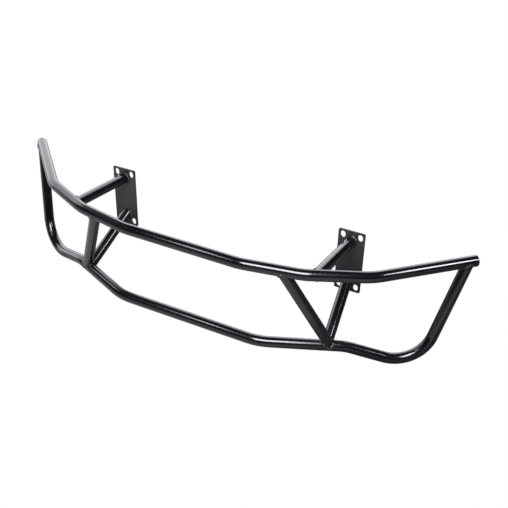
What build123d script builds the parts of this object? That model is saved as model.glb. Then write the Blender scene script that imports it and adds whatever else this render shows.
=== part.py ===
from build123d import *
import os

# A front grille guard: two bent rails joined by two slanted struts, carried on two brackets.
# Every member is the same round steel tube, coped to its neighbours and welded all round.
#
# Frame: millimetres, +X to the viewer's right as they face the guard, +Y back towards the
# vehicle, +Z up. The origin is midway between the two mounting plates, on the plane of their
# backs and level with the middle of their slots. Left and right are the viewer's.

# Tube stock
tube_radius = 38.1 / 2
tube_wall = 2.4
bore_radius = tube_radius - tube_wall

# Joints: each coped end stands a hair off its neighbour, and a bead fills the corner all round.
# The bead's faces stand off the tubes too, each by its own hair, so that no two faces coincide.
fit_up_gap = 0.1
weld_gap_to_rail = 0.25
weld_gap_to_member = 0.16
weld_gap_to_plate = 0.1
weld_on_rail = 4.4
weld_on_member = 4.0
weld_reach = 45.0
weld_wrap = 3.0

# Mounting plates and their slots
plate_width = 96.0
plate_height = 240.0
plate_thickness = 4.76
plate_corner_radius = 6.0
plate_x = 459.0
slot_width = 17.5
slot_length = 25.0
slot_spacing_x = 62.5
slot_spacing_z = 201.0

# Upper rail: the corners of its centreline on the right half, all at one level
upper_rail_z = 115.0
upper_rail_corners = [
    (218.0, -353.0, upper_rail_z),
    (422.0, -313.0, upper_rail_z),
    (616.0, -222.0, upper_rail_z),
]
upper_rail_tip = (872.0, 31.0, upper_rail_z)
upper_rail_radii = [200.0, 200.0, 190.0]

# Lower rail: it dips at its outer corners, then turns up to the upper rail's underside
lower_rail_z = -200.0
lower_rail_corners = [
    (274.0, -318.0, lower_rail_z),
    (542.0, -201.0, lower_rail_z),
    (770.0, -103.0, -267.0),
]
lower_rail_end_x = 852.5
lower_rail_radii = [200.0, 155.0, 130.0]

# Struts, from the upper rail down and out to the lower rail
strut_top_x = 354.5
strut_foot_x = 496.0

# Stays, from the rails back to the plates
upper_stay_rail_x = 459.0
upper_stay_plate_z = 80.0
lower_stay_rail_x = 484.0
lower_stay_plate_z = -72.5

# Plugs pressed into the upper rail's open tips
plug_head_radius = tube_radius - 0.8
plug_head_thickness = 2.0
plug_head_edge = 1.2
plug_skirt_radius = bore_radius - 0.6
plug_skirt_wall = 1.6
plug_skirt_depth = 16.0
plug_rib_radius = bore_radius - 0.05
plug_rib_depths = [4.0, 9.0]
plug_rib_width = 1.2


def along(corners, x):
    """The point at a given x on the straight runs through the corners."""
    for start, end in zip(corners, corners[1:]):
        if start[0] <= x <= end[0]:
            share = (x - start[0]) / (end[0] - start[0])
            return Vector(*start) + (Vector(*end) - Vector(*start)) * share


def whole_rail(right_half):
    """The right half's corners, led in by their mirror images."""
    left_half = [(-x, y, z) for x, y, z in reversed(right_half)]
    return left_half + right_half


def save(builder, name):
    """Name a finished piece and write its STEP file."""
    builder.part.label = name
    export_step(builder.part, f"parts/{name}.step")


def save_pair(right_piece, name):
    """Write a right-hand piece and its mirror image on the left."""
    save(right_piece, f"right_{name}")
    with BuildPart() as left_piece:
        mirror(right_piece.part, about=Plane.YZ)
    save(left_piece, f"left_{name}")


def rail_bar(corners, radii, radius):
    """A solid bar along a bent rail's centreline, for coping what meets the rail."""
    with BuildPart() as bar:
        with BuildLine() as path:
            FilletPolyline(*corners, radius=radii)
        with BuildSketch(Plane(origin=path.line @ 0, z_dir=path.line % 0)):
            Circle(radius)
        sweep()
    return bar.part


def straight_bar(start, end, radius):
    """A solid bar between two points."""
    with BuildPart() as bar:
        with BuildSketch(Plane(origin=start, z_dir=end - start)):
            Circle(radius)
        extrude(amount=(end - start).length)
    return bar.part


def tube_member(start, end, copes):
    """A straight tube from start to end, coped to the bars that it meets."""
    with BuildPart() as member:
        with BuildSketch(Plane(origin=start, z_dir=end - start)):
            Circle(tube_radius)
            Circle(bore_radius, mode=Mode.SUBTRACT)
        extrude(amount=(end - start).length)
        for cope in copes:
            add(cope, mode=Mode.SUBTRACT)
    return member


def stay_member(start, end, copes):
    """A straight tube coped at its start and cut flush to the plate's front at its end."""
    past_end = end + (end - start).normalized() * 2 * tube_radius
    stay = tube_member(start, past_end, copes)
    with stay:
        split(bisect_by=plate_front, keep=Keep.TOP)
    return stay


def rail_weld(foot, far_end, rail_corners, rail_radii, others):
    """The bead round a member's coped foot on a rail, clear of the other bars near it."""
    direction = (far_end - foot).normalized()
    with BuildPart() as bead:
        with BuildSketch(Plane(origin=foot - direction * weld_wrap, z_dir=direction)):
            Circle(tube_radius + weld_on_rail)
            Circle(tube_radius + weld_gap_to_member, mode=Mode.SUBTRACT)
        extrude(amount=weld_wrap + weld_reach)
        add(rail_bar(rail_corners, rail_radii, tube_radius + weld_on_member), mode=Mode.INTERSECT)
        add(rail_bar(rail_corners, rail_radii, tube_radius + weld_gap_to_rail), mode=Mode.SUBTRACT)
        for other in others:
            add(other, mode=Mode.SUBTRACT)
    return bead


def plate_weld(start, end):
    """The bead round a stay where it butts against the front of a mounting plate."""
    direction = (end - start).normalized()
    with BuildPart() as bead:
        with BuildSketch(Plane(origin=end - direction * weld_reach, z_dir=direction)):
            Circle(tube_radius + weld_on_rail)
            Circle(tube_radius + weld_gap_to_member, mode=Mode.SUBTRACT)
        extrude(amount=2 * weld_reach)
        split(bisect_by=plate_front.offset(weld_gap_to_plate), keep=Keep.TOP)
        split(bisect_by=plate_front.offset(weld_on_member), keep=Keep.BOTTOM)
    return bead


def bent_tube(centreline, radii, copes):
    """A bent rail: straight runs joined by tangent arcs, hollow all the way."""
    with BuildPart() as rail:
        with BuildLine() as path:
            FilletPolyline(*centreline, radius=radii)
        with BuildSketch(Plane(origin=path.line @ 0, z_dir=path.line % 0)):
            Circle(tube_radius)
            Circle(bore_radius, mode=Mode.SUBTRACT)
        sweep()
        for cope in copes:
            add(cope, mode=Mode.SUBTRACT)
    return rail


os.makedirs("parts", exist_ok=True)

plate_front = Plane(origin=(0, -plate_thickness, 0), z_dir=(0, -1, 0))
cope_radius = tube_radius + fit_up_gap
upper_right_half = upper_rail_corners + [upper_rail_tip]
lower_rail_end = along(upper_right_half, lower_rail_end_x)
lower_right_half = lower_rail_corners + [tuple(lower_rail_end)]
upper_corners = whole_rail(upper_right_half)
lower_corners = whole_rail(lower_right_half)
upper_radii = upper_rail_radii[::-1] + upper_rail_radii
lower_radii = lower_rail_radii[::-1] + lower_rail_radii
upper_cope = rail_bar(upper_corners, upper_radii, cope_radius)
lower_cope = rail_bar(lower_corners, lower_radii, cope_radius)

# Rails. The lower rail's ends are coped to the underside of the upper rail.
save(bent_tube(upper_corners, upper_radii, []), "upper_rail")
save(bent_tube(lower_corners, lower_radii, [upper_cope]), "lower_rail")

# Mounting plate with four upright slots
with BuildPart() as plate:
    with BuildSketch(Plane(origin=(plate_x, 0, 0), x_dir=(1, 0, 0), z_dir=(0, -1, 0))):
        RectangleRounded(plate_width, plate_height, plate_corner_radius)
        with GridLocations(slot_spacing_x, slot_spacing_z, 2, 2):
            SlotOverall(slot_length, slot_width, rotation=90, mode=Mode.SUBTRACT)
    extrude(amount=plate_thickness)
save_pair(plate, "mounting_plate")

# Strut between the rails
strut_top = along(upper_right_half, strut_top_x)
strut_foot = along(lower_right_half, strut_foot_x)
save_pair(tube_member(strut_top, strut_foot, [upper_cope, lower_cope]), "strut")

# Stays. The lower one is coped to the strut's foot as well as to the rail.
upper_stay_start = along(upper_right_half, upper_stay_rail_x)
upper_stay_end = Vector(plate_x, -plate_thickness, upper_stay_plate_z)
lower_stay_start = along(lower_right_half, lower_stay_rail_x)
lower_stay_end = Vector(plate_x, -plate_thickness, lower_stay_plate_z)
strut_cope = straight_bar(strut_top, strut_foot, cope_radius)
save_pair(stay_member(upper_stay_start, upper_stay_end, [upper_cope]), "upper_stay")
save_pair(stay_member(lower_stay_start, lower_stay_end, [lower_cope, strut_cope]), "lower_stay")

# Weld beads on the upper rail
lower_rail_corner = Vector(*lower_rail_corners[-1])
upper_joints = {
    "strut_top_weld": (strut_top, strut_foot),
    "rail_end_weld": (lower_rail_end, lower_rail_corner),
    "upper_stay_rail_weld": (upper_stay_start, upper_stay_end),
}
for name, (foot, far_end) in upper_joints.items():
    save_pair(rail_weld(foot, far_end, upper_corners, upper_radii, []), name)

# Weld beads on the lower rail, where the strut and the lower stay stand side by side.
# The strut's bead stops at the stay, and the stay's bead stops at the strut's bead.
stay_clearance = straight_bar(lower_stay_start, lower_stay_end, tube_radius + weld_gap_to_member)
below_foot = strut_foot + (strut_foot - strut_top).normalized() * tube_radius
bead_clearance = straight_bar(below_foot, strut_top, tube_radius + weld_on_rail + weld_gap_to_rail)
strut_foot_weld = rail_weld(strut_foot, strut_top, lower_corners, lower_radii, [stay_clearance])
lower_stay_rail_weld = rail_weld(
    lower_stay_start, lower_stay_end, lower_corners, lower_radii, [bead_clearance]
)
save_pair(strut_foot_weld, "strut_foot_weld")
save_pair(lower_stay_rail_weld, "lower_stay_rail_weld")

# Weld beads where the stays butt against the plates
save_pair(plate_weld(upper_stay_start, upper_stay_end), "upper_stay_plate_weld")
save_pair(plate_weld(lower_stay_start, lower_stay_end), "lower_stay_plate_weld")

# Plug in the upper rail's tip: a low head and a hollow skirt with two gripping ribs
tip = Vector(*upper_rail_tip)
tip_direction = (tip - Vector(*upper_rail_corners[-1])).normalized()
with BuildPart() as plug:
    with BuildSketch(Plane(origin=tip, z_dir=tip_direction)):
        Circle(plug_head_radius)
    extrude(amount=plug_head_thickness)
    head_rim = plug.edges().group_by(Axis(tip, tip_direction))[-1]
    fillet(head_rim, plug_head_edge)
    with BuildSketch(Plane(origin=tip, z_dir=-tip_direction)):
        Circle(plug_skirt_radius)
        Circle(plug_skirt_radius - plug_skirt_wall, mode=Mode.SUBTRACT)
    extrude(amount=plug_skirt_depth)
    for depth in plug_rib_depths:
        with BuildSketch(Plane(origin=tip - tip_direction * depth, z_dir=-tip_direction)):
            Circle(plug_rib_radius)
            Circle(plug_skirt_radius - plug_skirt_wall, mode=Mode.SUBTRACT)
        extrude(amount=plug_rib_width)
save_pair(plug, "end_plug")
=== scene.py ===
import math

import bpy
import numpy as np
from mathutils import Matrix, Vector


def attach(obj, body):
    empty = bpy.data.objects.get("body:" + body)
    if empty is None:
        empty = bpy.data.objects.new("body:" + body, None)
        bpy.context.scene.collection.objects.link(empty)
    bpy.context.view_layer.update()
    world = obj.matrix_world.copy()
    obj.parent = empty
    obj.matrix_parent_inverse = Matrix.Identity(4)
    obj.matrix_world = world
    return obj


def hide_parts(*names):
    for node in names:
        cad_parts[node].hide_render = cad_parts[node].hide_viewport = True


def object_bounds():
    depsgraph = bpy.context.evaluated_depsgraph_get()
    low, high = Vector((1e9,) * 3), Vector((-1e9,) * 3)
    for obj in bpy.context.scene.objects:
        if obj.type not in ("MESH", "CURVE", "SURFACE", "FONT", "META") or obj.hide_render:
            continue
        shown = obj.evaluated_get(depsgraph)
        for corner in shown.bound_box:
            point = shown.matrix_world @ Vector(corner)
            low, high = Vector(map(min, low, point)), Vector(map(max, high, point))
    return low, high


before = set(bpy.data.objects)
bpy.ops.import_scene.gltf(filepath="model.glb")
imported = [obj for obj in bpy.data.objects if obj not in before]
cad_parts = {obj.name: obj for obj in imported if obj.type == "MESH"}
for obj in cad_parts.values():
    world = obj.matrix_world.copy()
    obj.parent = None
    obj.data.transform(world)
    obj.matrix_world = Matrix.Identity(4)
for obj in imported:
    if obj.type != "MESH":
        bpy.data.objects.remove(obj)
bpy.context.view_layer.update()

# Sizes, in metres. They are the CAD model's own, in its frame.
TUBE_R = 0.01905
TUBE_WALL = 0.0024
COPE_GAP = 0.0001
PLATE_W = 0.096
PLATE_H = 0.240
PLATE_T = 0.00476
PLATE_CORNER_R = 0.006
PLATE_X = 0.459
SLOT_W = 0.0175
SLOT_L = 0.025
SLOT_DX = 0.0625
SLOT_DZ = 0.201
UPPER_CORNERS = [(0.218, -0.353, 0.115), (0.422, -0.313, 0.115), (0.616, -0.222, 0.115)]
UPPER_TIP = (0.872, 0.031, 0.115)
UPPER_BENDS = [0.200, 0.200, 0.190]
LOWER_CORNERS = [(0.274, -0.318, -0.200), (0.542, -0.201, -0.200), (0.770, -0.103, -0.267)]
LOWER_END_X = 0.8525
LOWER_BENDS = [0.200, 0.155, 0.130]
STRUT_TOP_X = 0.3545
STRUT_FOOT_X = 0.496
UPPER_STAY_X = 0.459
UPPER_STAY_PLATE_Z = 0.080
LOWER_STAY_X = 0.484
LOWER_STAY_PLATE_Z = -0.0725

# How finely round things are made, and how near two points are to be merged
ROUND = 64
BEND_STEP = math.radians(3.0)
MERGE_WITHIN = 1e-6

# Softened edges, and how sharp a corner is smoothed over, in degrees
RIM_BEVEL = 0.0005
PLATE_BEVEL = 0.0006
BEVEL_ABOVE = 50
SMOOTH_TO = 40
BEAD_SMOOTH_TO = 70

# The block that cuts the stays flush with the plates
BLOCK_DEPTH = 0.4
BLOCK_HEIGHT = 0.6

# Weld beads: the section, the ripples along it and how finely it is made
BEAD_WIDE = 0.0049
BEAD_HIGH = 0.0036
BEAD_SIDES = 14
RIPPLE_PITCH = 0.0029
RIPPLE_DEPTH = 0.0006
RIPPLE_MEAN = 0.6
RIPPLE_LAG = 0.45
RINGS_PER_RIPPLE = 8
FEWEST_RIPPLES = 12

# The corner that a bead lies in: its points, and how many neighbours each is averaged with
CORNER_STEPS = 720
CORNER_EASE = 7
FACING_EASE = 9

# How a bead's size wanders round it, slowly and quickly, and differs from joint to joint
SLOW_WANDER = 0.06
SLOW_WAVES = 3
QUICK_WANDER = 0.05
QUICK_WAVES = 11
QUICK_SHIFT = 3.7
SEED_PER_JOINT = 0.37
SEED_PER_SIDE = 0.19

# What leave_height allows for a line that only grazes its host, and says when there is no meeting
GRAZING = -1e-8
NO_MEETING = -1.0


# ---------------------------------------------------------------- route geometry


def along(corners, x):
    """The point at a given x on the straight runs through the corners."""
    for start, end in zip(corners, corners[1:]):
        if start[0] <= x <= end[0]:
            share = (x - start[0]) / (end[0] - start[0])
            return Vector(start).lerp(Vector(end), share)


def both_halves(right_half):
    """The whole rail's corners, left tip to right tip."""
    right = [Vector(p) for p in right_half]
    left = [Vector((-p.x, p.y, p.z)) for p in reversed(right)]
    return left + right


def flip(point, side):
    """The point itself on the right, its mirror image on the left."""
    return Vector((side * point.x, point.y, point.z))


# ---------------------------------------------------------------- making by operators


def clear_selection():
    """Leave edit mode and deselect everything."""
    if bpy.context.mode != "OBJECT":
        bpy.ops.object.mode_set(mode="OBJECT")
    bpy.ops.object.select_all(action="DESELECT")


def take(obj):
    """Make obj the one selected, active object."""
    clear_selection()
    obj.select_set(True)
    bpy.context.view_layer.objects.active = obj


def settle(obj):
    """Put the object's place, turn and size into its mesh."""
    take(obj)
    bpy.ops.object.transform_apply(location=True, rotation=True, scale=True)


def apply_modifier(obj, kind, **settings):
    """Add a modifier with these settings and apply it."""
    take(obj)
    modifier = obj.modifiers.new(kind.lower(), kind)
    for key, value in settings.items():
        setattr(modifier, key, value)
    bpy.ops.object.modifier_apply(modifier=modifier.name)


def outward(obj):
    """Merge doubles and turn every face outwards."""
    take(obj)
    bpy.ops.object.mode_set(mode="EDIT")
    bpy.ops.mesh.select_all(action="SELECT")
    bpy.ops.mesh.remove_doubles(threshold=MERGE_WITHIN)
    bpy.ops.mesh.normals_make_consistent(inside=False)
    bpy.ops.object.mode_set(mode="OBJECT")


def smooth(obj, degrees):
    """Shade smoothly up to an angle, the larger faces setting the direction at shared edges."""
    take(obj)
    bpy.ops.object.shade_smooth_by_angle(angle=math.radians(degrees))
    apply_modifier(obj, "WEIGHTED_NORMAL", mode="FACE_AREA", weight=100, keep_sharp=True)


def ring_at(name, centre, direction, radius, fill="NOTHING"):
    """A circle square to a direction, the section that a tube grows from."""
    clear_selection()
    turn = direction.to_track_quat("Z", "Y").to_euler()
    bpy.ops.mesh.primitive_circle_add(
        vertices=ROUND, radius=radius, fill_type=fill, location=centre, rotation=turn
    )
    obj = bpy.context.object
    obj.name = name
    obj.data.name = name
    settle(obj)
    return obj


def grow_along(obj, corners, bends):
    """Draw the section along straight runs and spin it round each bend, as a tube bender does."""
    take(obj)
    bpy.ops.object.mode_set(mode="EDIT")
    bpy.ops.mesh.select_all(action="SELECT")
    here = corners[0]
    for i in range(1, len(corners) - 1):
        run_in = (corners[i] - corners[i - 1]).normalized()
        run_out = (corners[i + 1] - corners[i]).normalized()
        turn = run_in.angle(run_out)
        setback = bends[i - 1] * math.tan(turn / 2)
        bend_start = corners[i] - run_in * setback
        axis = run_in.cross(run_out).normalized()
        centre = bend_start + axis.cross(run_in) * bends[i - 1]
        bpy.ops.mesh.extrude_region_move(TRANSFORM_OT_translate={"value": bend_start - here})
        bpy.ops.mesh.spin(
            steps=max(2, round(turn / BEND_STEP)), angle=-turn, center=centre, axis=axis
        )
        here = corners[i] + run_out * setback
    bpy.ops.mesh.extrude_region_move(TRANSFORM_OT_translate={"value": corners[-1] - here})
    bpy.ops.object.mode_set(mode="OBJECT")


def solid_bar(name, corners, bends, radius):
    """A closed bar along a route, used to cope other tubes and then thrown away."""
    first = (corners[1] - corners[0]).normalized()
    obj = ring_at(name, corners[0], first, radius)
    grow_along(obj, corners, bends)
    bpy.ops.object.mode_set(mode="EDIT")
    bpy.ops.mesh.select_all(action="DESELECT")
    bpy.ops.mesh.select_non_manifold()
    bpy.ops.mesh.edge_face_add()
    bpy.ops.object.mode_set(mode="OBJECT")
    outward(obj)
    return obj


def cut_away(obj, cutters):
    """Cope obj to each cutter."""
    for cutter in cutters:
        apply_modifier(obj, "BOOLEAN", operation="DIFFERENCE", solver="EXACT", object=cutter)


def hollow_tube(name, corners, bends, cutters=()):
    """A bent or straight round tube with a real wall, coped to the cutters."""
    first = (corners[1] - corners[0]).normalized()
    obj = ring_at(name, corners[0], first, TUBE_R)
    grow_along(obj, corners, bends)
    outward(obj)
    apply_modifier(obj, "SOLIDIFY", thickness=TUBE_WALL, offset=-1.0, use_even_offset=True)
    cut_away(obj, cutters)
    soften_edges(obj, RIM_BEVEL, segments=2)
    return obj


def soften_edges(obj, width, segments):
    """Round off the edges that are sharper than BEVEL_ABOVE."""
    sharp = math.radians(BEVEL_ABOVE)
    apply_modifier(
        obj, "BEVEL", width=width, segments=segments, limit_method="ANGLE", angle_limit=sharp
    )


def throw_away(*objects):
    """Delete objects that were only tools, with their meshes."""
    for obj in objects:
        mesh = obj.data
        bpy.data.objects.remove(obj)
        bpy.data.meshes.remove(mesh)


# ---------------------------------------------------------------- pieces


def mounting_plate(name, side):
    """A flat plate with rounded corners, four upright slots and softened edges."""
    clear_selection()
    centre = (side * PLATE_X, -PLATE_T / 2, 0)
    bpy.ops.mesh.primitive_cube_add(size=1, location=centre, scale=(PLATE_W, PLATE_T, PLATE_H))
    obj = bpy.context.object
    obj.name = name
    obj.data.name = name
    settle(obj)
    bpy.ops.object.mode_set(mode="EDIT")
    bpy.ops.mesh.select_mode(type="EDGE")
    bpy.ops.mesh.select_all(action="DESELECT")
    bpy.ops.object.mode_set(mode="OBJECT")
    for edge in obj.data.edges:
        a, b = (obj.data.vertices[i].co for i in edge.vertices)
        edge.select = abs(a.y - b.y) > PLATE_T / 2
    bpy.ops.object.mode_set(mode="EDIT")
    bpy.ops.mesh.bevel(offset=PLATE_CORNER_R, segments=10, affect="EDGES")
    bpy.ops.mesh.select_mode(type="VERT")
    bpy.ops.object.mode_set(mode="OBJECT")
    outward(obj)
    for column in (-1, 1):
        for row in (-1, 1):
            middle = Vector((side * PLATE_X + column * SLOT_DX / 2, 0, row * SLOT_DZ / 2))
            punch = slot_punch(middle)
            cut_away(obj, [punch])
            throw_away(punch)
    soften_edges(obj, PLATE_BEVEL, segments=3)
    return obj


def slot_punch(middle):
    """A round-ended punch, longer than the plate is thick."""
    reach = PLATE_T * 2
    rise = (SLOT_L - SLOT_W) / 2
    tie_break = 1e-7
    clear_selection()
    bpy.ops.mesh.primitive_cylinder_add(
        vertices=ROUND,
        radius=SLOT_W / 2,
        depth=2 * reach,
        location=middle,
        rotation=(math.pi / 2, 0, 0),
    )
    punch = bpy.context.object
    settle(punch)
    for vertex in punch.data.vertices:
        vertex.co.z += math.copysign(rise, vertex.co.z - middle.z + tie_break)
    outward(punch)
    return punch


def end_plug(name, tip, direction):
    """A moulded plug: low domed head, hollow skirt and gripping ribs, turned about its axis."""
    bore = TUBE_R - TUBE_WALL
    skirt = bore - 0.0006
    rib = bore - 0.00005
    inner = skirt - 0.0016
    head = TUBE_R - 0.0008
    # radius and height of the turned outline, from the dome's middle round to the hollow's floor
    outline = [
        (0.0, 0.0021),
        (head * 0.45, 0.0020),
        (head - 0.0022, 0.0016),
        (head - 0.0008, 0.0011),
        (head, 0.0004),
        (head, 0.0),
        (skirt, 0.0),
        (skirt, -0.0040),
        (rib, -0.0043),
        (skirt, -0.0055),
        (skirt, -0.0090),
        (rib, -0.0093),
        (skirt, -0.0105),
        (skirt - 0.0004, -0.0160),
        (inner, -0.0160),
        (inner, -0.0006),
        (0.0, -0.0006),
    ]
    points = [(radius, 0, height) for radius, height in outline]
    edges = [(i, i + 1) for i in range(len(outline) - 1)]
    mesh = bpy.data.meshes.new(name)
    mesh.from_pydata(points, edges, [])
    obj = bpy.data.objects.new(name, mesh)
    bpy.context.scene.collection.objects.link(obj)
    take(obj)
    bpy.ops.object.mode_set(mode="EDIT")
    bpy.ops.mesh.select_all(action="SELECT")
    bpy.ops.mesh.spin(steps=ROUND, angle=2 * math.pi, center=(0, 0, 0), axis=(0, 0, 1))
    bpy.ops.object.mode_set(mode="OBJECT")
    outward(obj)
    turn = direction.to_track_quat("Z", "Y").to_matrix().to_4x4()
    obj.matrix_world = Matrix.Translation(tip) @ turn
    settle(obj)
    return obj


def leave_height(start, direction, around, host):
    """How far along a member its skin line leaves a host: a round bar, or the plate's front."""
    line = start + around * TUBE_R
    if host[0] == "face":
        return (-PLATE_T - line.y) / direction.y
    point, axis = host[1], host[2]
    away = line - point
    d_across = direction - axis * direction.dot(axis)
    w_across = away - axis * away.dot(axis)
    a = d_across.length_squared
    b = 2 * d_across.dot(w_across)
    c = w_across.length_squared - TUBE_R**2
    inside = b * b - 4 * a * c
    if inside < GRAZING:
        return NO_MEETING
    return (-b + math.sqrt(max(0.0, inside))) / (2 * a)


def host_normal(point, host):
    """Which way a host's skin faces at a point."""
    if host[0] == "face":
        return Vector((0, -1, 0))
    away = point - host[1]
    return (away - host[2] * away.dot(host[2])).normalized()


def weld_bead(name, start, direction, hosts, seed):
    """A rippled bead, laid into the corner where a member meets its hosts."""
    askew = Vector((0.3, 0.5, 0.8))
    across = direction.cross(askew).normalized()
    other = direction.cross(across).normalized()
    corner = []
    facing = []
    for i in range(CORNER_STEPS):
        angle = 2 * math.pi * i / CORNER_STEPS
        around = across * math.cos(angle) + other * math.sin(angle)
        heights = [leave_height(start, direction, around, host) for host in hosts]
        top = max(heights)
        point = start + around * TUBE_R + direction * top
        corner.append(point)
        facing.append((around + host_normal(point, hosts[heights.index(top)])).normalized())
    corner = ease(np.array(corner), CORNER_EASE)
    facing = ease(np.array(facing), FACING_EASE)
    length = float(np.linalg.norm(np.roll(corner, -1, 0) - corner, axis=1).sum())
    count = max(FEWEST_RIPPLES, round(length / RIPPLE_PITCH))
    major = count * RINGS_PER_RIPPLE
    clear_selection()
    # Known fault: this operator makes at most 256 rings, and every bead here asks for more. The
    # rings past the 256th are dropped, so the bead stops short of a full turn, and its last ring
    # is joined straight across to its first.
    bpy.ops.mesh.primitive_torus_add(
        major_segments=major,
        minor_segments=BEAD_SIDES,
        major_radius=TUBE_R,
        minor_radius=BEAD_HIGH,
    )
    obj = bpy.context.object
    obj.name = name
    obj.data.name = name
    corner = even_out(corner, major)
    facing = even_out(facing, major)
    shape_bead(obj, corner, facing, count, seed)
    return obj


def ease(points, reach):
    """Round off the kinks in a closed ring of points."""
    total = sum(np.roll(points, k, 0) for k in range(-reach, reach + 1))
    return total / (2 * reach + 1)


def even_out(points, count):
    """The ring's points, taken again at even steps."""
    steps = len(points)
    place = np.arange(count) * steps / count
    closed = np.vstack([points, points[:1]])
    index = np.arange(steps + 1)
    return np.stack([np.interp(place, index, closed[:, k]) for k in range(3)], 1)


def shape_bead(obj, corner, facing, count, seed):
    """Move the ring's vertices: along the corner, bulged between the ripples' valleys."""
    major = len(corner)
    tangent = np.roll(corner, -1, 0) - np.roll(corner, 1, 0)
    tangent /= np.linalg.norm(tangent, axis=1)[:, None]
    facing = facing - tangent * (facing * tangent).sum(1)[:, None]
    facing /= np.linalg.norm(facing, axis=1)[:, None]
    sideways = np.cross(tangent, facing)
    turn = np.arange(major) / major
    section = 2 * np.pi * np.arange(BEAD_SIDES) / BEAD_SIDES
    slow = SLOW_WANDER * np.sin(2 * np.pi * (SLOW_WAVES * turn + seed))
    quick = QUICK_WANDER * np.sin(2 * np.pi * (QUICK_WAVES * turn + QUICK_SHIFT * seed))
    grow = 1 + (slow + quick)
    co = np.empty((major, BEAD_SIDES, 3))
    for j, angle in enumerate(section):
        lag = RIPPLE_LAG * math.sin(angle) ** 2
        ripple = np.abs(np.sin(np.pi * (turn * count - lag)))
        high = (BEAD_HIGH * grow + RIPPLE_DEPTH * (ripple - RIPPLE_MEAN)) * math.cos(angle)
        wide = (BEAD_WIDE * grow + RIPPLE_DEPTH * (ripple - RIPPLE_MEAN)) * math.sin(angle)
        co[:, j] = corner + facing * high[:, None] + sideways * wide[:, None]
    obj.data.vertices.foreach_set("co", co.astype(np.float32).ravel())
    obj.data.update()


def twin(obj, name):
    """The same piece for the left: mirrored, with a mesh of its own."""
    copy = obj.copy()
    copy.data = obj.data.copy()
    copy.name = name
    copy.data.name = name
    bpy.context.scene.collection.objects.link(copy)
    copy.scale.x = -1
    settle(copy)
    return copy


# ---------------------------------------------------------------- materials


def node(tree, kind, **settings):
    """A new shader node with these settings."""
    made = tree.nodes.new(kind)
    for key, value in settings.items():
        setattr(made, key, value)
    return made


def wire(tree, source, target):
    """Link one socket to another."""
    tree.links.new(source, target)


def new_group(name, inputs, outputs):
    """A shader node group with its sockets, and its two end nodes."""
    tree = bpy.data.node_groups.new(name, "ShaderNodeTree")
    for label, kind, value in inputs:
        socket = tree.interface.new_socket(label, in_out="INPUT", socket_type=kind)
        socket.default_value = value
    for label, kind in outputs:
        tree.interface.new_socket(label, in_out="OUTPUT", socket_type=kind)
    return tree, node(tree, "NodeGroupInput"), node(tree, "NodeGroupOutput")


def film_group():
    """Cured powder film: faint orange peel, patches that are a little duller, and fine specks."""
    tree, given, result = new_group(
        "Powder film",
        [
            ("Deep", "NodeSocketColor", (0.0025, 0.0025, 0.0032, 1)),
            ("Pale", "NodeSocketColor", (0.006, 0.006, 0.0072, 1)),
            ("Gloss roughness", "NodeSocketFloat", 0.13),
            ("Dull roughness", "NodeSocketFloat", 0.17),
            ("Peel scale", "NodeSocketFloat", 150.0),
        ],
        [
            ("Color", "NodeSocketColor"),
            ("Roughness", "NodeSocketFloat"),
            ("Height", "NodeSocketFloat"),
        ],
    )
    place = node(tree, "ShaderNodeTexCoord").outputs["Object"]
    peel = node(tree, "ShaderNodeTexNoise")
    peel.inputs["Detail"].default_value = 2.0
    peel.inputs["Roughness"].default_value = 0.4
    wire(tree, place, peel.inputs["Vector"])
    wire(tree, given.outputs["Peel scale"], peel.inputs["Scale"])
    patches = node(tree, "ShaderNodeTexNoise")
    patches.inputs["Scale"].default_value = 9.0
    patches.inputs["Detail"].default_value = 4.0
    wire(tree, place, patches.inputs["Vector"])
    specks = node(tree, "ShaderNodeTexVoronoi")
    specks.inputs["Scale"].default_value = 420.0
    wire(tree, place, specks.inputs["Vector"])
    speck_mask = node(tree, "ShaderNodeMapRange")
    speck_mask.inputs["From Min"].default_value = 0.10
    speck_mask.inputs["From Max"].default_value = 0.18
    speck_mask.inputs["To Min"].default_value = 1.0
    speck_mask.inputs["To Max"].default_value = 0.0
    wire(tree, specks.outputs["Distance"], speck_mask.inputs["Value"])
    spread = node(tree, "ShaderNodeMapRange")
    spread.inputs["From Min"].default_value = 0.35
    spread.inputs["From Max"].default_value = 0.65
    wire(tree, patches.outputs["Fac"], spread.inputs["Value"])
    dullness = node(tree, "ShaderNodeMath", operation="MULTIPLY_ADD", use_clamp=True)
    dullness.inputs[1].default_value = 0.25
    wire(tree, speck_mask.outputs["Result"], dullness.inputs[0])
    wire(tree, spread.outputs["Result"], dullness.inputs[2])
    rough = node(tree, "ShaderNodeMix", data_type="FLOAT")
    wire(tree, dullness.outputs["Value"], rough.inputs["Factor"])
    wire(tree, given.outputs["Gloss roughness"], rough.inputs["A"])
    wire(tree, given.outputs["Dull roughness"], rough.inputs["B"])
    tint = node(tree, "ShaderNodeMix", data_type="RGBA")
    wire(tree, dullness.outputs["Value"], tint.inputs["Factor"])
    colour_in = [s for s in tint.inputs if s.type == "RGBA"]
    wire(tree, given.outputs["Deep"], colour_in[0])
    wire(tree, given.outputs["Pale"], colour_in[1])
    wire(tree, [s for s in tint.outputs if s.type == "RGBA"][0], result.inputs["Color"])
    wire(tree, rough.outputs["Result"], result.inputs["Roughness"])
    wire(tree, peel.outputs["Fac"], result.inputs["Height"])
    return tree


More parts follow.
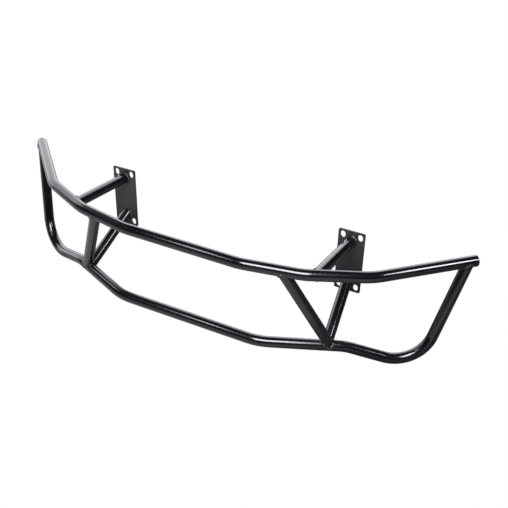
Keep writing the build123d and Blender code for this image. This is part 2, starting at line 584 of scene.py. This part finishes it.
def film_material(name, film, peel_height, ior, **settings):
    """A painted finish: the shared film drives colour, roughness and bump."""
    material = bpy.data.materials.new(name)
    material.use_nodes = True
    tree = material.node_tree
    shader = tree.nodes["Principled BSDF"]
    shader.inputs["IOR"].default_value = ior
    group = node(tree, "ShaderNodeGroup", node_tree=film)
    for label, value in settings.items():
        group.inputs[label.replace("_", " ")].default_value = value
    bump = node(tree, "ShaderNodeBump")
    bump.inputs["Distance"].default_value = peel_height
    wire(tree, group.outputs["Color"], shader.inputs["Base Color"])
    wire(tree, group.outputs["Roughness"], shader.inputs["Roughness"])
    wire(tree, group.outputs["Height"], bump.inputs["Height"])
    wire(tree, bump.outputs["Normal"], shader.inputs["Normal"])
    return material


film = film_group()
tube_coat = film_material("Gloss black powder coat", film, peel_height=0.000003, ior=1.5)
plate_coat = film_material(
    "Black powder coat on plate",
    film,
    peel_height=0.00002,
    ior=1.5,
    Deep=(0.010, 0.010, 0.011, 1),
    Pale=(0.018, 0.018, 0.019, 1),
    Gloss_roughness=0.26,
    Dull_roughness=0.36,
    Peel_scale=320.0,
)
weld_coat = film_material(
    "Black powder coat on weld",
    film,
    peel_height=0.00003,
    ior=1.5,
    Deep=(0.008, 0.008, 0.009, 1),
    Pale=(0.020, 0.020, 0.021, 1),
    Gloss_roughness=0.09,
    Dull_roughness=0.18,
    Peel_scale=500.0,
)
plug_plastic = film_material(
    "Satin black plastic",
    film,
    peel_height=0.00001,
    ior=1.46,
    Deep=(0.012, 0.012, 0.012, 1),
    Pale=(0.020, 0.020, 0.020, 1),
    Gloss_roughness=0.34,
    Dull_roughness=0.46,
    Peel_scale=900.0,
)


# ---------------------------------------------------------------- the guard


def place_piece(obj, cad_node, material, smooth_to=SMOOTH_TO):
    """Give a finished piece its finish and its body, and hide the CAD node that it stands for."""
    outward(obj)
    smooth(obj, smooth_to)
    obj.data.materials.clear()
    obj.data.materials.append(material)
    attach(obj, "root")
    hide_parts(cad_node)


def place_pair(right, label, cad_node, material):
    """Place a right-hand piece and its twin on the left."""
    left = twin(right, "Left_" + label)
    place_piece(right, "right_" + cad_node, material)
    place_piece(left, "left_" + cad_node, material)


upper_right = UPPER_CORNERS + [UPPER_TIP]
lower_end = along(upper_right, LOWER_END_X)
lower_right = LOWER_CORNERS + [tuple(lower_end)]
upper_route = both_halves(upper_right)
lower_route = both_halves(lower_right)
upper_bends = UPPER_BENDS[::-1] + UPPER_BENDS
lower_bends = LOWER_BENDS[::-1] + LOWER_BENDS

strut_top = along(upper_right, STRUT_TOP_X)
strut_foot = along(lower_right, STRUT_FOOT_X)
upper_stay_start = along(upper_right, UPPER_STAY_X)
upper_stay_end = Vector((PLATE_X, -PLATE_T, UPPER_STAY_PLATE_Z))
lower_stay_start = along(lower_right, LOWER_STAY_X)
lower_stay_end = Vector((PLATE_X, -PLATE_T, LOWER_STAY_PLATE_Z))

# Bars that the tubes are coped to
upper_bar = solid_bar("Upper cope", upper_route, upper_bends, TUBE_R + COPE_GAP)
lower_bar = solid_bar("Lower cope", lower_route, lower_bends, TUBE_R + COPE_GAP)
strut_bar = solid_bar("Strut cope", [strut_top, strut_foot], [], TUBE_R + COPE_GAP)
clear_selection()
bpy.ops.mesh.primitive_cube_add(
    size=1,
    location=(PLATE_X, BLOCK_DEPTH / 2 - PLATE_T - COPE_GAP, 0),
    scale=(BLOCK_DEPTH, BLOCK_DEPTH, BLOCK_HEIGHT),
)
behind_plate = bpy.context.object
settle(behind_plate)

# Rails
upper_rail = hollow_tube("Upper_rail_tube", upper_route, upper_bends)
place_piece(upper_rail, "upper_rail", tube_coat)
lower_rail = hollow_tube("Lower_rail_tube", lower_route, lower_bends, [upper_bar])
place_piece(lower_rail, "lower_rail", tube_coat)

# Struts and stays
strut = hollow_tube("Right_strut_tube", [strut_top, strut_foot], [], [upper_bar, lower_bar])
place_pair(strut, "strut_tube", "strut", tube_coat)
past_plate = (upper_stay_end - upper_stay_start).normalized() * 2 * TUBE_R
upper_stay = hollow_tube(
    "Right_upper_stay_tube",
    [upper_stay_start, upper_stay_end + past_plate],
    [],
    [upper_bar, behind_plate],
)
place_pair(upper_stay, "upper_stay_tube", "upper_stay", tube_coat)
past_plate = (lower_stay_end - lower_stay_start).normalized() * 2 * TUBE_R
lower_stay = hollow_tube(
    "Right_lower_stay_tube",
    [lower_stay_start, lower_stay_end + past_plate],
    [],
    [lower_bar, strut_bar, behind_plate],
)
place_pair(lower_stay, "lower_stay_tube", "lower_stay", tube_coat)
throw_away(upper_bar, lower_bar, strut_bar, behind_plate)

# Plates and plugs
plate = mounting_plate("Right_mounting_plate_steel", 1)
place_pair(plate, "mounting_plate_steel", "mounting_plate", plate_coat)
tip = Vector(UPPER_TIP)
plug = end_plug("Right_end_plug_moulding", tip, (tip - Vector(UPPER_CORNERS[-1])).normalized())
place_pair(plug, "end_plug_moulding", "end_plug", plug_plastic)

# Weld beads: where each starts, which way its member goes, and what it is welded to
upper_run = (Vector(UPPER_CORNERS[1]) - Vector(UPPER_CORNERS[0])).normalized()
upper_wing = (Vector(UPPER_CORNERS[2]) - Vector(UPPER_CORNERS[1])).normalized()
upper_end = (Vector(UPPER_TIP) - Vector(UPPER_CORNERS[2])).normalized()
lower_run = (Vector(LOWER_CORNERS[1]) - Vector(LOWER_CORNERS[0])).normalized()
strut_way = (strut_foot - strut_top).normalized()
BEADS = {
    "strut_top_weld": (strut_top, strut_foot, [(strut_top, upper_run)]),
    "strut_foot_weld": (strut_foot, strut_top, [(strut_foot, lower_run)]),
    "rail_end_weld": (lower_end, Vector(LOWER_CORNERS[-1]), [(lower_end, upper_end)]),
    "upper_stay_rail_weld": (upper_stay_start, upper_stay_end, [(upper_stay_start, upper_wing)]),
    "lower_stay_rail_weld": (
        lower_stay_start,
        lower_stay_end,
        [(lower_stay_start, lower_run), (strut_foot, strut_way)],
    ),
    "upper_stay_plate_weld": (upper_stay_end, upper_stay_start, []),
    "lower_stay_plate_weld": (lower_stay_end, lower_stay_start, []),
}
for count, (label, (foot, far_end, bars)) in enumerate(BEADS.items()):
    for side, prefix in ((1, "right_"), (-1, "left_")):
        hosts = [("bar", flip(point, side), flip(axis, side)) for point, axis in bars]
        if not hosts:
            hosts = [("face",)]
        way = flip(far_end - foot, side).normalized()
        name = prefix.capitalize() + label.replace("weld", "weld_bead")
        seed = SEED_PER_JOINT * count + SEED_PER_SIDE * side
        bead = weld_bead(name, flip(foot, side), way, hosts, seed)
        place_piece(bead, prefix + label, weld_coat, smooth_to=BEAD_SMOOTH_TO)


# ---------------------------------------------------------------- floor, light and camera

FLOOR_GAP = 0.0005
FLOOR_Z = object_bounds()[0][2] - FLOOR_GAP
FLOOR_SIZE = 16
FLOOR_GLOW = 0.62
FAINT = 0.05
LIGHT_COLOUR = (0.93, 0.94, 1.0)
CAMERA_DISTANCE = 2.9225


def glow_edge(tree, across, full, faint):
    """Fade the floor's glow between two places across it, where it is full and where faint."""
    edge = node(tree, "ShaderNodeMapRange", interpolation_type="SMOOTHSTEP")
    edge.inputs["From Min"].default_value = full
    edge.inputs["From Max"].default_value = faint
    edge.inputs["To Min"].default_value = 1.0
    edge.inputs["To Max"].default_value = FAINT
    wire(tree, across, edge.inputs["Value"])
    return edge.outputs["Result"]


def pale_floor():
    """A floor that the camera sees as plain white. To the guard it glows in front and at the left."""
    clear_selection()
    bpy.ops.mesh.primitive_plane_add(size=FLOOR_SIZE, location=(0, 0, FLOOR_Z))
    floor = bpy.context.object
    floor.name = "Floor"
    settle(floor)
    material = bpy.data.materials.new("White floor")
    material.use_nodes = True
    tree = material.node_tree
    shader = tree.nodes["Principled BSDF"]
    shader.inputs["Base Color"].default_value = (0.1, 0.1, 0.1, 1)
    shader.inputs["Roughness"].default_value = 1.0
    shader.inputs["Specular IOR Level"].default_value = 0.0
    shader.inputs["Emission Strength"].default_value = FLOOR_GLOW
    place = node(tree, "ShaderNodeTexCoord")
    reach = node(tree, "ShaderNodeVectorMath", operation="DOT_PRODUCT")
    reach.inputs[1].default_value = (0.15, 1.0, 0.0)
    wire(tree, place.outputs["Object"], reach.inputs[0])
    side = node(tree, "ShaderNodeSeparateXYZ")
    wire(tree, place.outputs["Object"], side.inputs["Vector"])
    front_glow = glow_edge(tree, reach.outputs["Value"], full=-0.36, faint=-0.22)
    left_glow = glow_edge(tree, side.outputs["X"], full=-0.8, faint=-0.6)
    either = node(tree, "ShaderNodeMath", operation="MAXIMUM")
    wire(tree, front_glow, either.inputs[0])
    wire(tree, left_glow, either.inputs[1])
    wire(tree, either.outputs["Value"], shader.inputs["Emission Color"])
    plain = node(tree, "ShaderNodeEmission")
    plain.inputs["Strength"].default_value = 1.0
    path = node(tree, "ShaderNodeLightPath")
    seen = node(tree, "ShaderNodeMixShader")
    wire(tree, path.outputs["Is Camera Ray"], seen.inputs["Fac"])
    wire(tree, shader.outputs["BSDF"], seen.inputs[1])
    wire(tree, plain.outputs["Emission"], seen.inputs[2])
    wire(tree, seen.outputs["Shader"], tree.nodes["Material Output"].inputs["Surface"])
    material.cycles.emission_sampling = "NONE"
    floor.data.materials.append(material)


def panel(name, start, end, width, power, aim):
    """A soft light panel between two points, turned to face a third."""
    start, end, aim = Vector(start), Vector(end), Vector(aim)
    light = bpy.data.lights.new(name, "AREA")
    light.shape = "RECTANGLE"
    light.size = (end - start).length
    light.size_y = width
    light.energy = power
    light.color = LIGHT_COLOUR
    lamp = bpy.data.objects.new(name, light)
    bpy.context.scene.collection.objects.link(lamp)
    middle = (start + end) / 2
    x_axis = (end - start).normalized()
    z_axis = (middle - aim).normalized()
    y_axis = z_axis.cross(x_axis).normalized()
    z_axis = x_axis.cross(y_axis)
    turn = Matrix((x_axis, y_axis, z_axis)).transposed().to_4x4()
    lamp.matrix_world = Matrix.Translation(middle) @ turn
    lamp.visible_camera = False


def surround():
    """The room: white to the camera, dim grey to everything else."""
    world = bpy.data.worlds.new("Studio")
    bpy.context.scene.world = world
    world.use_nodes = True
    tree = world.node_tree
    background = tree.nodes["Background"]
    background.inputs["Color"].default_value = (1, 1, 1, 1)
    path = node(tree, "ShaderNodeLightPath")
    level = node(tree, "ShaderNodeMapRange")
    level.inputs["To Min"].default_value = 0.015
    level.inputs["To Max"].default_value = 1.0
    wire(tree, path.outputs["Is Camera Ray"], level.inputs["Value"])
    wire(tree, level.outputs["Result"], background.inputs["Strength"])


def camera():
    """The camera, at the angle that the guard is seen from."""
    azimuth, elevation, roll = math.radians(26.594), math.radians(32.943), math.radians(1.454)
    target = Vector((0.1698, -0.1548, 0.0227))
    back = Vector(
        (
            math.sin(azimuth) * math.cos(elevation),
            -math.cos(azimuth) * math.cos(elevation),
            math.sin(elevation),
        )
    )
    right = (-back).cross(Vector((0, 0, 1))).normalized()
    up = back.cross(right)
    rolled_right = right * math.cos(roll) + up * math.sin(roll)
    rolled_up = up * math.cos(roll) - right * math.sin(roll)
    data = bpy.data.cameras.new("Camera")
    data.sensor_width = 36
    data.lens = 60.965
    obj = bpy.data.objects.new("Camera", data)
    bpy.context.scene.collection.objects.link(obj)
    turn = Matrix((rolled_right, rolled_up, back)).transposed().to_4x4()
    obj.matrix_world = Matrix.Translation(target + back * CAMERA_DISTANCE) @ turn
    bpy.context.scene.camera = obj


pale_floor()
surround()
panel(
    "Far left strip",
    start=(-1.47, -2.14, 2.4),
    end=(-1.18, -2.14, 2.4),
    width=1.1,
    power=16,
    aim=(0.1, -0.3, 0.1),
)
panel(
    "Middle strip",
    start=(-0.3, -2.32, 2.4),
    end=(1.17, -1.83, 2.4),
    width=1.5,
    power=185,
    aim=(0.3, -0.3, 0),
)
panel(
    "Right strip",
    start=(2.83, -0.55, 2.4),
    end=(3.3, -0.08, 2.4),
    width=1.0,
    power=75,
    aim=(0.7, -0.1, 0),
)
panel(
    "Back panel",
    start=(-5.0, 4.6, 2.3),
    end=(0.4, 4.6, 2.3),
    width=5.0,
    power=300,
    aim=(-2.3, 0.0, 2.3),
)
panel(
    "Left panel",
    start=(-5.0, -1.0, 2.3),
    end=(-5.0, 4.6, 2.3),
    width=5.0,
    power=300,
    aim=(0.0, 1.8, 2.3),
)
camera()
bpy.context.scene.view_settings.view_transform = "Standard"
